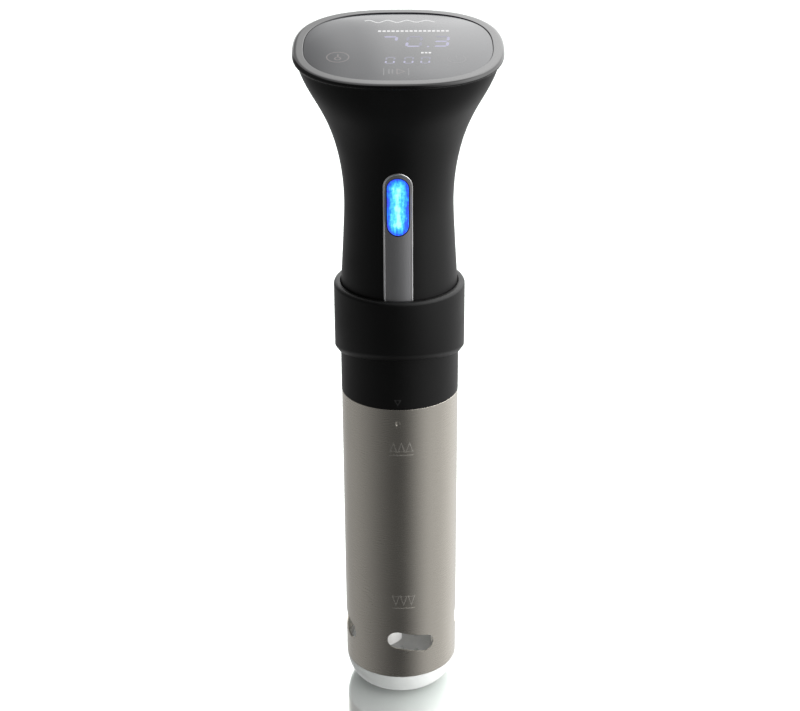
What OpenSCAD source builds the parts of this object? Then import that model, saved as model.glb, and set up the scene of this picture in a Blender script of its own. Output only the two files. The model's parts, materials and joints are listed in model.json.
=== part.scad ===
// Sous vide circulator: a handle with a touch display on a long steel sleeve.
// Millimetres. Z is up along the sleeve, the display leans towards -Y, and the
// origin is the centre of the flat foot of the bottom cap.

/* [Sleeve and cap] */
// Outer radius of the steel sleeve
sleeve_r = 32.5; // [32:0.1:33]
// Sheet thickness of the sleeve
sleeve_wall = 0.8; // [0.6:0.1:1]
// Lower edge of the sleeve
sleeve_z0 = 15.5; // [15:0.5:16]
// Upper edge of the sleeve
sleeve_z1 = 187.5; // [186:0.5:187.5]
// Radius of the flat foot
foot_r = 21; // [20.8:0.2:23]
// Height of the outlet slots above the foot
slot_z = 38.8; // [36:0.2:42]
// Length of an outlet slot, measured across its chord
slot_len = 27.4; // [22:0.2:28]
// Height of an outlet slot
slot_h = 10.8; // [10:0.2:14]
// Slant of the outlet slots, falling to the right
slot_lean = 13; // [0:1:15]
// Azimuth of the first outlet slot, from the front towards the right
slot_turn = 10.5; // [0:0.5:20]

/* [Handle] */
// Radius of the lower housing between sleeve and clamp collar
neck_r = 32.6; // [32.5:0.1:32.7]
// Radius of the handle at its waist
waist_r = 29.3; // [28.8:0.1:29.5]
// Height of the waist
waist_z = 296; // [294:1:298]
// Wall of the handle
handle_wall = 2.6; // [2.2:0.1:3]
// Half width of the display head
head_a = 54.4; // [54:0.1:55]
// Half depth of the display head
head_b = 45; // [44:0.1:46]
// Lean of the display towards the user, in degrees
head_tilt = 14.5; // [12:0.5:16]
// Height of the centre of the handle's top edge
head_z = 377.4; // [375:0.2:380]
// Offset of the head towards the front
head_y = -3; // [-4:0.5:-2]

/* [Clamp] */
// Outer radius of the clamp collar
collar_r = 35.8; // [35.4:0.1:36.2]
// Distance of the clamp pin behind the sleeve's axis
pin_y = 43; // [43:0.5:44]
// Height of the clamp pin
pin_z = 244; // [243:0.5:245]
// Width of the clamp lever
lever_w = 30; // [28:0.5:30]

/* [Drive] */
// Radius of the drive shaft
shaft_r = 2.5; // [2.5:0.1:2.5]
// Running clearance around the shaft
run_gap = 0.04; // [0.03:0.01:0.08]
// Number of impeller vanes
vane_count = 5; // [4:1:6]
// Radius of the impeller
impeller_r = 27; // [22:0.5:27.5]

/* [Hidden] */
$fn = 96;
eps = 0.01;

// ---- shared curves ----
handle_z0 = 240;
neck_spigot_r = 29.1;
neck_spigot_z1 = 248;
seal_z = 241.4;
bezel_h = 2.4;
rim_power = 2.55;
glass_a = 48.6;
glass_b = 39.6;
glass_h = 2;
glass_gap = 0.25;

grip_curve = [[32.5, handle_z0], [31.4, 257], [waist_r, 288], [waist_r, waist_z]];
flare_curve = [[waist_r, waist_z], [waist_r, 337.7], [46.3, 353.1], [head_a - 1.5, head_z]];
grip_steps = 5;
flare_steps = 14;
round_until = 0.3;
loft_sides = 60;

function bezier(p, t) =
    pow(1 - t, 3) * p[0] + 3 * t * pow(1 - t, 2) * p[1] + 3 * t * t * (1 - t) * p[2] + pow(t, 3) * p[3];
function smooth(x) = x <= 0 ? 0 : x >= 1 ? 1 : x * x * (3 - 2 * x);
function signed_pow(v, p) = v < 0 ? -pow(-v, p) : pow(v, p);

// Point of a superellipse with half axes a and b at angle w
function rim_point(a, b, n, w) = [a * signed_pow(cos(w), 2 / n), b * signed_pow(sin(w), 2 / n)];
function rim_outline(a, b, n, count) = [for (i = [0:count - 1]) rim_point(a, b, n, i * 360 / count)];

// One ring of the handle: [radius, height, share of the change from round waist to leaning head]
grip_rings = [for (i = [0:grip_steps - 1]) concat(bezier(grip_curve, i / grip_steps), [0])];
flare_rings = [
    for (i = [0:flare_steps])
        concat(
            bezier(flare_curve, i / flare_steps),
            [smooth((i / flare_steps - round_until) / (1 - round_until))]
        )
];
handle_rings = concat(grip_rings, flare_rings);

function handle_ring(ring, inset) =
    let (
        m = ring[2],
        a = ring[0] - inset,
        b = ring[0] * (1 + m * (head_b / head_a - 1)) - inset,
        n = 2 + m * (rim_power - 2),
        lean = m * head_tilt
    )
    [
        for (p = rim_outline(a, b, n, loft_sides))
            [p[0], m * head_y + p[1] * cos(lean), ring[1] + p[1] * sin(lean)]
    ];

// Closed tube through a list of rings with the same number of points each
module ring_tube(rings) {
    count = len(rings);
    sides = len(rings[0]);
    points = [for (ring = rings) for (p = ring) p];
    faces = [
        for (i = [0:count - 1])
            for (j = [0:sides - 1])
                let (
                    i2 = (i + 1) % count,
                    j2 = (j + 1) % sides
                )
                each [
                    [i * sides + j, i2 * sides + j, i2 * sides + j2],
                    [i * sides + j, i2 * sides + j2, i * sides + j2]
                ]
    ];
    polyhedron(points, faces, convexity = 6);
}

// Frame of the leaning head: z = 0 is the handle's top face
module on_head() {
    translate([0, head_y, head_z]) rotate([head_tilt, 0, 0]) children();
}

module head_slab(a, b, z0, z1) {
    translate([0, 0, z0]) linear_extrude(z1 - z0) polygon(rim_outline(a, b, rim_power, loft_sides));
}

// Skin over the round part of the handle, from inner to outer offset
round_ring_count = grip_steps + floor(round_until * flare_steps) + 1;
module handle_skin(inner, outer) {
    skin = [for (i = [0:round_ring_count - 1]) handle_rings[i]];
    rotate_extrude() polygon(concat(
        [for (p = skin) [p[0] + outer, p[1]]],
        [for (i = [len(skin) - 1:-1:0]) [skin[i][0] + inner, skin[i][1]]]
    ));
}

// Prism along Y, on the front side, from an outline drawn as x and z
module front_prism(y0, y1) {
    translate([0, y1, 0]) rotate([90, 0, 0]) linear_extrude(y1 - y0) children();
}

module slot_outline(width, height) {
    r = min(width, height) / 2;
    dx = width / 2 - r;
    dy = height / 2 - r;
    square([max(2 * dx, 2 * r * (dx > 0 ? 0 : 1)), max(2 * dy, 2 * r * (dy > 0 ? 0 : 1))], center = true);
    for (s = [-1, 1]) translate([s * dx, s * dy]) circle(r);
}

module ring(r_out, r_in, z0, z1) {
    difference() {
        translate([0, 0, z0]) cylinder(r = r_out, h = z1 - z0);
        translate([0, 0, z0 - 1]) cylinder(r = r_in, h = z1 - z0 + 2);
    }
}

module arc_block(r_in, r_out, z0, z1, start, sweep) {
    rotate([0, 0, start]) rotate_extrude(angle = sweep) translate([r_in, z0])
        square([r_out - r_in, z1 - z0]);
}

module rod_x(r, x0, x1) {
    translate([x0, 0, 0]) rotate([0, 90, 0]) cylinder(r = r, h = x1 - x0);
}

module rod_y(r, y0, y1) {
    translate([0, y1, 0]) rotate([90, 0, 0]) cylinder(r = r, h = y1 - y0);
}

module block(x, y, z) {
    translate([x[0], y[0], z[0]]) cube([x[1] - x[0], y[1] - y[0], z[1] - z[0]]);
}

// ---- tube swept along points, for the spring and the heater ----
function unit(v) = v / norm(v);
function tangent(p, i) = unit(p[min(i + 1, len(p) - 1)] - p[max(i - 1, 0)]);
function carried(p, i, n) =
    let (t = tangent(p, i), side = unit(n - (n * t) * t))
    i == len(p) - 1 ? [side] : concat([side], carried(p, i + 1, side));
module sweep(path, r, sides, first) {
    normals = carried(path, 0, first);
    count = len(path);
    points = [
        for (i = [0:count - 1])
            let (n = normals[i], b = cross(tangent(path, i), n))
            for (j = [0:sides - 1]) path[i] + r * (cos(j * 360 / sides) * n + sin(j * 360 / sides) * b)
    ];
    walls = [
        for (i = [0:count - 2])
            for (j = [0:sides - 1])
                let (k = (j + 1) % sides)
                each [
                    [i * sides + j, (i + 1) * sides + j, (i + 1) * sides + k],
                    [i * sides + j, (i + 1) * sides + k, i * sides + k]
                ]
    ];
    start_cap = [[for (j = [0:sides - 1]) j]];
    end_cap = [[for (j = [sides - 1:-1:0]) (count - 1) * sides + j]];
    polyhedron(points, concat(walls, start_cap, end_cap), convexity = 8);
}

// ---- handle and display ----
trim_w = 15.4;
trim_top = 319.6;
trim_z0 = 249;
trim_x = -0.5;
led_w = 12.3;
led_h = 31.8;
led_z = 301.2;
gland_z = 330;
gland_seat_y = 38;
gland_bore_r = 3.7;
gland_body_r = 6.5;
housing_screw_z = 244.2;
housing_screw_turns = [35, 145, 215, 325];

module trim_outline(inset) {
    r = trim_w / 2 - inset;
    top = trim_top - trim_w / 2;
    translate([trim_x - r, trim_z0 + inset]) square([2 * r, top - trim_z0 - inset]);
    translate([trim_x, top]) circle(r);
}

module led_outline(inset) {
    translate([trim_x, led_z]) slot_outline(led_w - 2 * inset, led_h - 2 * inset);
}

module screw_holes(z, r, r_in, r_out, turns) {
    for (w = turns) rotate([0, 0, w]) translate([0, 0, z]) rotate([0, 90, 0]) translate([0, 0, r_in])
        cylinder(r = r, h = r_out - r_in);
}

module handle_housing() {
    outer = [for (ring = handle_rings) handle_ring(ring, 0)];
    inner = [for (i = [len(handle_rings) - 1:-1:0]) handle_ring(handle_rings[i], handle_wall)];
    color([0.06, 0.06, 0.065]) difference() {
        union() {
            ring_tube(concat(outer, inner));
            translate([0, 0, gland_z]) rod_y(9.5, 30.5, gland_seat_y);
        }
        front_prism(-40, -20) led_outline(0.4);
        translate([0, 0, gland_z]) rod_y(gland_body_r, 20, 50);
        screw_holes(housing_screw_z, 1.5, 26, 40, housing_screw_turns);
        screw_holes(housing_screw_z, 2.8, 31.2, 40, housing_screw_turns);
    }
}

boss_spots = [for (sx = [-1, 1]) for (sy = [-1, 1]) [sx * 34, sy * 27.4]];
board_z0 = -8.2;
board_z1 = -6.6;
lip_inset = 5.3;
lip_depth = 3.4;

module top_bezel() {
    color([0.02, 0.02, 0.022]) on_head() {
        difference() {
            union() {
                head_slab(head_a, head_b, eps, bezel_h);
                head_slab(head_a - lip_inset, head_b - lip_inset, -lip_depth, bezel_h / 2);
            }
            head_slab(glass_a, glass_b, bezel_h - glass_gap - glass_h, bezel_h + 1);
            head_slab(glass_a - 5, glass_b - 5, -6, bezel_h + 1);
        }
        for (p = boss_spots) difference() {
            translate([p[0], p[1], board_z1]) cylinder(r = 2.4, h = -board_z1 - lip_depth + 1);
            translate([p[0], p[1], board_z1 - 1]) cylinder(r = 1.1, h = 5);
        }
    }
}

module touch_glass() {
    color([0.3, 0.31, 0.33]) on_head()
        head_slab(glass_a - 0.1, glass_b - 0.1, bezel_h - glass_gap - glass_h, bezel_h - glass_gap);
}

module display_board() {
    color([0.05, 0.25, 0.12]) on_head() difference() {
        head_slab(41.5, 33.5, board_z0, board_z1);
        for (p = boss_spots) translate([p[0], p[1], board_z0 - 1]) cylinder(r = 1.5, h = 4);
    }
}

glass_under = bezel_h - glass_gap - glass_h;
module digit_display() {
    color([0.08, 0.08, 0.1]) on_head() {
        block([-11, 31], [-4, 14], [board_z1, glass_under - 0.4]);
        block([-11, 19], [-22, -12], [board_z1, glass_under - 0.4]);
    }
}

key_spots = [[-30, -13], [29, -15.5], [-1, -30]];
module key_lamps() {
    color([0.9, 0.9, 0.8]) on_head() for (p = key_spots)
        translate([p[0] - 1.6, p[1] + 5.2, board_z1]) cube([3.2, 1.6, 1.4]);
}

module touch_pads() {
    color([0.2, 0.2, 0.2]) on_head() for (p = key_spots)
        translate([p[0], p[1], board_z1]) cylinder(r = 3.6, h = glass_under - board_z1);
}

module board_screws() {
    color("silver") on_head() for (p = boss_spots) translate([p[0], p[1], 0]) {
        translate([0, 0, board_z0 - 1.2]) cylinder(r = 1.65, h = 1.2 - eps);
        translate([0, 0, board_z0 - 0.5]) cylinder(r = 1.05, h = 4.4);
    }
}

module buzzer() {
    color([0.1, 0.1, 0.1]) on_head() difference() {
        translate([-24, 14, board_z0 - 6]) cylinder(r = 5.5, h = 6);
        translate([-24, 14, board_z0 - 7]) cylinder(r = 1, h = 2);
    }
}

skin_gap = 0.05;
module trim_strip() {
    color([0.3, 0.3, 0.31]) intersection() {
        handle_skin(skin_gap, 0.3);
        difference() {
            front_prism(-40, -10) trim_outline(0.9);
            front_prism(-41, -9) led_outline(0);
        }
    }
}

module trim_frame() {
    color([0.8, 0.8, 0.82]) intersection() {
        handle_skin(skin_gap, 0.42);
        difference() {
            front_prism(-40, -10) trim_outline(0);
            front_prism(-41, -9) trim_outline(0.9);
        }
    }
}

module led_lens() {
    color([0.15, 0.35, 1]) difference() {
        intersection() {
            front_prism(-40, -10) led_outline(0.5);
            translate([0, 0, led_z - led_h]) cylinder(r = waist_r + 0.9, h = 2 * led_h);
        }
        translate([0, 0, led_z - led_h - 1]) cylinder(r = waist_r - 1.6, h = 2 * led_h + 2);
    }
}

led_board_y = -23.2;
module led_board() {
    color([0.05, 0.25, 0.12]) block([trim_x - 6, trim_x + 6], [led_board_y, led_board_y + 1.6], [284, 318]);
}

module led_chips() {
    color([0.9, 0.9, 0.7]) for (i = [-1:1])
        block(
            [trim_x - 2.5, trim_x + 2.5],
            [led_board_y - 1.8, led_board_y],
            [led_z + 9 * i - 2.5, led_z + 9 * i + 2.5]
        );
}

// ---- power electronics in the handle ----
board_y0 = 9.2;
board_y1 = 10.8;
board_half = 19;
bracket_z0 = neck_spigot_z1;
bracket_z1 = 300;

module board_bracket() {
    color([0.15, 0.15, 0.16]) difference() {
        union() {
            ring(28.8, 24, bracket_z0, bracket_z0 + 2.5);
            for (s = [-1, 1]) translate([s * 20, 0, 0])
                block([-2, 2], [7, 13], [bracket_z0 + 1, bracket_z1]);
        }
        block(
            [-board_half - 0.2, board_half + 0.2],
            [board_y0 - 0.1, board_y1 + 0.1],
            [bracket_z0 + 4, bracket_z1 + 1]
        );
    }
}

module power_board() {
    color([0.05, 0.28, 0.14])
        block([-board_half, board_half], [board_y0, board_y1], [bracket_z0 + 4.2, 338]);
}

module relay() {
    color([0.1, 0.15, 0.35]) block([-16, 3], [board_y0 - 15, board_y0], [262, 277]);
}

module capacitors() {
    color([0.1, 0.1, 0.3]) for (s = [-1, 1])
        translate([s * 8, 0, 290]) rod_y(5, board_y0 - 13, board_y0);
}

module transformer() {
    color([0.6, 0.45, 0.1]) block([-11, 11], [board_y0 - 15, board_y0], [304, 320]);
}

module heat_sink() {
    color("silver") {
        block([-9, 9], [board_y1, board_y1 + 3], [262, 292]);
        for (i = [-2:2]) block([4 * i - 0.7, 4 * i + 0.7], [board_y1 + 2, board_y1 + 9], [262, 292]);
    }
}

module terminal_block() {
    color([0.1, 0.4, 0.2]) difference() {
        block([-9, 9], [board_y1, board_y1 + 9], [305, 315]);
        for (i = [-1:1]) translate([5.4 * i, board_y1 + 4.5, 312]) cylinder(r = 1.8, h = 4);
    }
}

module fuse() {
    color([0.85, 0.85, 0.8]) translate([0, board_y0 - 2.7, 256.5]) rod_x(2.6, -11, 11);
}

module cord_gland() {
    color([0.05, 0.05, 0.05]) translate([0, 0, gland_z]) difference() {
        union() {
            rod_y(gland_body_r - 0.05, 28, gland_seat_y + 0.5);
            rod_y(9, gland_seat_y + eps, gland_seat_y + 2.5);
            rod_y(6, gland_seat_y + 1, gland_seat_y + 6);
        }
        rod_y(gland_bore_r, 20, 60);
    }
}

// ---- lower housing ----
ledge_z = 192;
lug_turns = [0, 120, 240];
twist_max = 30;

module lower_housing() {
    color([0.05, 0.05, 0.055]) difference() {
        union() {
            rotate_extrude() polygon([
                [27, 170], [29.4, 170], [29.4, sleeve_z1 + 0.1], [neck_r, sleeve_z1 + 0.1],
                [neck_r, handle_z0 - 0.2], [neck_spigot_r, handle_z0 - 0.2],
                [neck_spigot_r, seal_z - 0.8], [neck_spigot_r - 0.8, seal_z - 0.8],
                [neck_spigot_r - 0.8, seal_z + 0.8], [neck_spigot_r, seal_z + 0.8],
                [neck_spigot_r, neck_spigot_z1], [26.6, neck_spigot_z1], [26.6, 237], [29.8, 233],
                [29.8, ledge_z], [27, ledge_z]
            ]);
            for (w = lug_turns) arc_block(29, 30.8, 175, 178.4, w - 6, 12);
        }
        screw_holes(housing_screw_z, 1.2, 20, 33, housing_screw_turns);
        screw_holes(collar_screw_z, 1.2, 20, 40, collar_screw_turns);
    }
}

module housing_seal() {
    color([0.1, 0.1, 0.1]) rotate_extrude() translate([neck_spigot_r - 0.1, seal_z]) circle(0.6);
}

module housing_screws() {
    color("silver") for (w = housing_screw_turns) rotate([0, 0, w]) translate([0, 0, housing_screw_z]) {
        rod_x(1.15, 25.6, 31.5);
        rod_x(2.6, 31.25, 32.1);
    }
}

// ---- clamp ----
collar_bore_r = 32.75;
collar_top_z = 251.6;
collar_low_z = 210;
collar_top_lean = 1.8;
collar_low_lean = -11.5;
collar_round = 2;
collar_lip_r = 32.15;
collar_lip_h = 2;
collar_screw_z = 222;
collar_screw_turns = [77, 103];
ear_x0 = lever_w / 2 + 0.3;
ear_w = 4;
ear_r = 6.5;
clamp_pin_r = 2;

// Slab under the leaning top face, with a rounded edge where it meets the collar's side
module collar_top() {
    translate([0, 0, collar_top_z]) rotate([collar_top_lean, 0, 0]) rotate_extrude() polygon(concat(
        [[0, -80], [80, -80], [80, -collar_round - 1], [collar_r + 0.3, -collar_round - 1]],
        [
            for (w = [15:15:90])
                [collar_r - collar_round * (1 - cos(w)), collar_round * (sin(w) - 1)]
        ],
        [[0, 0]]
    ));
}

module collar_body() {
    intersection() {
        translate([0, 0, 185]) cylinder(r = collar_r, h = 90);
        collar_top();
        translate([0, 0, collar_low_z]) rotate([collar_low_lean, 0, 0]) union() {
            cylinder(r1 = 33.3, r2 = 37.4, h = 5.6);
            translate([0, 0, 5.6 - eps]) cylinder(r = 60, h = 90);
        }
    }
}

// The bore is wide up to the lip, which closes in on the handle except at the front strip
module collar_bore() {
    translate([0, 0, 180]) cylinder(r = collar_lip_r, h = 100);
    intersection() {
        translate([0, 0, 180]) cylinder(r = collar_bore_r, h = 100);
        translate([0, 0, collar_top_z - collar_lip_h]) rotate([collar_top_lean, 0, 0])
            translate([0, 0, -90]) cylinder(r = 60, h = 90);
    }
    front_prism(-collar_bore_r, 0) translate([trim_x - trim_w / 2 - 0.3, 240]) square([trim_w + 0.6, 30]);
}

module ear() {
    translate([0, pin_y, pin_z]) rod_x(ear_r, ear_x0, ear_x0 + ear_w);
    block([ear_x0, ear_x0 + ear_w], [26, pin_y], [pin_z - ear_r, pin_z + ear_r]);
}

module clamp_collar() {
    color([0.04, 0.04, 0.04]) difference() {
        union() {
            collar_body();
            ear();
            mirror([1, 0, 0]) ear();
        }
        collar_bore();
        translate([0, pin_y, pin_z]) rod_x(clamp_pin_r + 0.02, -40, 40);
        screw_holes(collar_screw_z, 1.5, 30, 40, collar_screw_turns);
        screw_holes(collar_screw_z, 2.9, 34.3, 40, collar_screw_turns);
    }
}

module collar_screws() {
    color("silver") for (w = collar_screw_turns) rotate([0, 0, w]) translate([0, 0, collar_screw_z]) {
        rod_x(1.15, 28.4, 34.5);
        rod_x(2.7, 34.35, 35.6);
    }
}

module clamp_pin() {
    color("silver") translate([0, pin_y, pin_z]) {
        rod_x(clamp_pin_r, -ear_x0 - ear_w - 0.8, ear_x0 + ear_w + 0.8);
        for (s = [-1, 1]) translate([s * (ear_x0 + ear_w + 0.5), 0, 0]) rod_x(3, -0.45, 0.45);
    }
}

lever_y = 38;
lever_t = 4.2;
lever_tip_z = 158;
hub_r = 6;
spring_half = 6.3;
thumb_lean = 20;
thumb_len = 34;

module lever_profile() {
    translate([pin_y, pin_z]) circle(hub_r);
    translate([lever_y, lever_tip_z]) square([lever_t, pin_z - lever_tip_z]);
    translate([lever_y, lever_tip_z]) rotate(-25) translate([0, -9]) square([lever_t, 9.4]);
    translate([pin_y, pin_z]) rotate(-thumb_lean) translate([1.4, 0]) square([lever_t - 0.4, thumb_len]);
}

module clamp_lever() {
    color([0.05, 0.05, 0.05]) difference() {
        translate([-lever_w / 2, 0, 0]) rotate([90, 0, 90]) linear_extrude(lever_w) lever_profile();
        translate([0, pin_y, pin_z]) rod_x(clamp_pin_r + 0.06, -40, 40);
        block([-spring_half, spring_half], [30, pin_y + 5.4], [pin_z - 7, pin_z + 7.5]);
        for (s = [-1, 1]) translate([s * (lever_w / 2), 0, lever_tip_z - 12]) rotate([-90, 0, 0])
            cylinder(r = 7, h = 80);
    }
}

pad_y = 33.2;
pad_z0 = 162;
pad_z1 = 186;
module jaw_pad() {
    color([0.25, 0.25, 0.26]) difference() {
        block([-11, 11], [pad_y, lever_y], [pad_z0, pad_z1]);
        for (z = [pad_z0 + 3.2:4:pad_z0 + 19.3]) block([-12, 12], [pad_y - 1, pad_y + 0.9], [z, z + 1.4]);
    }
}

// Torsion spring: two legs and a coil around the clamp pin
spring_turns = 5.5;
spring_coil_r = 3.4;
spring_wire_r = 0.6;
spring_len = 10;
spring_steps = 12;
spring_coil = [
    for (i = [0:spring_turns * spring_steps])
        let (w = 360 * i / spring_steps)
        [
            -spring_len / 2 + spring_len * i / (spring_turns * spring_steps),
            pin_y - spring_coil_r * cos(w),
            pin_z - spring_coil_r * sin(w)
        ]
];
spring_fixed_leg = [[-spring_len / 2, collar_r + 0.65, pin_z + 5.5]];
spring_lever_leg = [
    [spring_len / 2, pin_y + spring_coil_r, pin_z + 8],
    [spring_len / 2, pin_y + spring_coil_r + 2.9, pin_z + 16]
];
module clamp_spring() {
    path = concat(spring_fixed_leg, spring_coil, spring_lever_leg);
    color("silver") sweep(path, spring_wire_r, 6, [1, 0, 0]);
}

// ---- wet end ----
plate_z0 = 193;
plate_z1 = 194.5;
tube_r = 5;
heater_r = 3.2;
coil_r = 18;
return_r = 10.5;
coil_z0 = 74;
coil_turns = 5.5;
coil_pitch = 15;
heater_top = 201;
probe_r = 1.8;
probe_spot = 23.7 * [cos(38), sin(38)];
level_spots = [for (w = [145, 215]) 24.1 * [cos(w), sin(w)]];
level_ends = [60, 150];
level_r = 1.4;
plate_screw_turns = [0, 90, 180, 270];

module plate_seal() {
    color([0.35, 0.1, 0.08]) ring(29.6, 27.1, ledge_z + eps, plate_z0 - eps);
}

module base_plate() {
    color("silver") difference() {
        translate([0, 0, plate_z0]) cylinder(r = 29.6, h = plate_z1 - plate_z0);
        translate([0, 0, plate_z0 - 1]) {
            cylinder(r = tube_r, h = 4);
            translate([coil_r, 0, 0]) cylinder(r = heater_r + 0.1, h = 4);
            translate([-return_r, 0, 0]) cylinder(r = heater_r + 0.1, h = 4);
            translate(probe_spot) cylinder(r = probe_r + 1, h = 4);
            for (p = level_spots) translate(p) cylinder(r = level_r + 1, h = 4);
        }
    }
}

module plate_screws() {
    color("silver") for (w = plate_screw_turns) rotate([0, 0, w]) translate([27.2, 0, plate_z1 + eps]) {
        cylinder(r = 2.2, h = 1.6);
        translate([0, 0, 1]) cylinder(r = 1.1, h = 1);
    }
}

mount_z0 = 198;
mount_z1 = 200;
can_z0 = 209;
can_z1 = 242;
mount_leg_turns = [90, 180, 300];
motor_screw_turns = [90, 270];
can_r = 17.5;
bearing_r = 5.5;
module motor_mount() {
    color([0.7, 0.7, 0.72]) difference() {
        union() {
            translate([0, 0, mount_z0]) cylinder(r = 23, h = mount_z1 - mount_z0);
            for (w = mount_leg_turns) rotate([0, 0, w]) translate([20, 0, plate_z1])
                cylinder(r = 2.6, h = 4);
        }
        translate([0, 0, mount_z0 - 1]) cylinder(r = 6.5, h = 5);
        translate([coil_r, 0, mount_z0 - 1]) cylinder(r = heater_r + 2.6, h = 5);
        translate([-return_r, 0, mount_z0 - 1]) cylinder(r = heater_r + 2.6, h = 5);
        for (w = motor_screw_turns) rotate([0, 0, w]) translate([11, 0, mount_z0 - 1])
            cylinder(r = 1.3, h = 5);
        translate([probe_spot[0], probe_spot[1], mount_z0 - 1]) cylinder(r = 4, h = 5);
        for (p = level_spots) translate([p[0], p[1], mount_z0 - 1]) cylinder(r = 3.6, h = 5);
    }
}

module motor_can() {
    color([0.6, 0.6, 0.62]) difference() {
        translate([0, 0, can_z0]) cylinder(r = can_r, h = can_z1 - can_z0);
        difference() {
            translate([0, 0, can_z0 + 1.6]) cylinder(r = can_r - 1.2, h = 60);
            translate([0, 0, can_z0 + 1]) cylinder(r = bearing_r + 1.4, h = 4.6);
        }
        translate([0, 0, can_z0 - 1]) cylinder(r = 3.4, h = 20);
        translate([0, 0, can_z0 + 1.6]) cylinder(r = bearing_r, h = 20);
        for (w = motor_screw_turns) rotate([0, 0, w]) translate([11, 0, can_z0 - 1])
            cylinder(r = 1.1, h = 5);
    }
}

module motor_cover() {
    color([0.12, 0.12, 0.13]) difference() {
        union() {
            translate([0, 0, can_z1 + eps]) cylinder(r = can_r, h = 2.4);
            translate([0, 0, can_z1 - 4]) cylinder(r = bearing_r + 1.4, h = 5);
        }
        translate([0, 0, can_z1 - 5]) cylinder(r = bearing_r, h = 5.2);
        translate([0, 0, can_z1 - 5]) cylinder(r = 3.4, h = 20);
    }
}

module motor_magnets() {
    color([0.25, 0.25, 0.27]) for (w = [-65, 115])
        arc_block(12.9, can_r - 1.22, can_z0 + 5, can_z1 - 6, w, 130);
}

module motor_bearings() {
    color("silver") {
        ring(bearing_r - eps, shaft_r + run_gap, can_z0 + 1.6 + eps, can_z0 + 5.6);
        ring(bearing_r - eps, shaft_r + run_gap, can_z1 - 3.9, can_z1 + 0.1);
    }
}

module motor_screws() {
    color("silver") for (w = motor_screw_turns) rotate([0, 0, w]) translate([11, 0, mount_z0]) {
        translate([0, 0, -1.6]) cylinder(r = 2.2, h = 1.6 - eps);
        translate([0, 0, -0.5]) cylinder(r = 1.05, h = can_z0 - mount_z0 + 2);
    }
}

module motor_spacers() {
    color([0.8, 0.8, 0.7]) for (w = motor_screw_turns) rotate([0, 0, w]) translate([11, 0, 0])
        ring(2.6, 1.15, mount_z1 + eps, can_z0 - eps);
}

module rotor_core() {
    color([0.7, 0.4, 0.2]) difference() {
        translate([0, 0, can_z0 + 7]) cylinder(r = 12.4, h = 18);
        translate([0, 0, can_z0]) cylinder(r = shaft_r, h = 40);
        for (w = [0:72:288]) rotate([0, 0, w]) translate([10.5, 0, can_z0]) cylinder(r = 2.6, h = 40);
    }
}

impeller_z0 = 29;
impeller_z1 = 46;
vane_turn = 0;
module drive_shaft() {
    color("silver") translate([0, 0, impeller_z0 + 1])
        cylinder(r = shaft_r, h = can_z1 + 2 - impeller_z0 - 1);
}

// A curved wall that runs outwards from the hub
module vane() {
    difference() {
        arc_block(0, 17, impeller_z0 + 2.5, impeller_z1 - 2 + eps, 0, 118);
        translate([0, 0, impeller_z0 - 2]) cylinder(r = 14.6, h = 30);
    }
}

module impeller() {
    color([0.93, 0.93, 0.92]) difference() {
        union() {
            translate([0, 0, impeller_z1 - 2]) cylinder(r = impeller_r, h = 2);
            translate([0, 0, impeller_z0]) cylinder(r = 8, h = impeller_z1 - impeller_z0);
            for (i = [0:vane_count - 1]) rotate([0, 0, vane_turn + i * 360 / vane_count]) intersection() {
                translate([17, -2, 0]) vane();
                cylinder(r = impeller_r - 0.4, h = 60);
            }
        }
        translate([0, 0, impeller_z0 + 1]) cylinder(r = shaft_r, h = 40);
        translate([0, 0, impeller_z0 - 1]) cylinder(r = 1.3, h = 4);
    }
}

module impeller_screw() {
    color("silver") translate([0, 0, impeller_z0 - 1.8]) cylinder(r = 3, h = 1.8 - eps);
}

heater_path = concat(
    [for (z = [heater_top:-18:coil_z0 + 16]) [-return_r, 0, z]],
    [
        for (i = [0:9])
            let (
                w = 180 + 9 * i,
                r = return_r + (coil_r - return_r) * smooth(i / 9),
                drop = 10 * (1 - i / 9) * (1 - i / 9)
            )
            [r * cos(w), r * sin(w), coil_z0 + drop]
    ],
    [
        for (i = [1:18 * coil_turns])
            let (w = 261 + 20 * i)
            [coil_r * cos(w), coil_r * sin(w), coil_z0 + coil_pitch * i / 18]
    ]
);
coil_end = heater_path[len(heater_path) - 1];
coil_end_turn = 261 + 360 * coil_turns;
heater_lift = [
    for (i = [1:8])
        let (w = coil_end_turn + (1080 + 1080 - coil_end_turn) * smooth(i / 8), rise = 14 * i / 8)
        [coil_r * cos(w), coil_r * sin(w), coil_end[2] + rise]
];
module heater_coil() {
    color([0.45, 0.42, 0.4]) sweep(
        concat(heater_path, heater_lift, [[coil_r, 0, heater_top - 14], [coil_r, 0, heater_top]]),
        heater_r, 10, [0, 1, 0]
    );
}

module heater_nuts() {
    color([0.8, 0.7, 0.4]) for (p = [[coil_r, 0], [-return_r, 0]]) translate([p[0], p[1], plate_z1 + eps])
        ring(4.8, heater_r + 0.1, 0, 2.8);
}

module heater_tabs() {
    color("silver") for (p = [[coil_r, 0], [-return_r, 0]])
        translate([p[0] - 0.4, p[1] - 3, heater_top + eps]) cube([0.8, 6, 6]);
}

module probe_rod(spot, r, z0) {
    translate([spot[0], spot[1], z0 + r]) {
        cylinder(r = r, h = 199 - z0 - r);
        sphere(r);
    }
}

module temperature_probe() {
    color("silver") probe_rod(probe_spot, probe_r, 66);
}

module level_probes() {
    color("silver") for (i = [0, 1]) probe_rod(level_spots[i], level_r, level_ends[i]);
}

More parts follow.
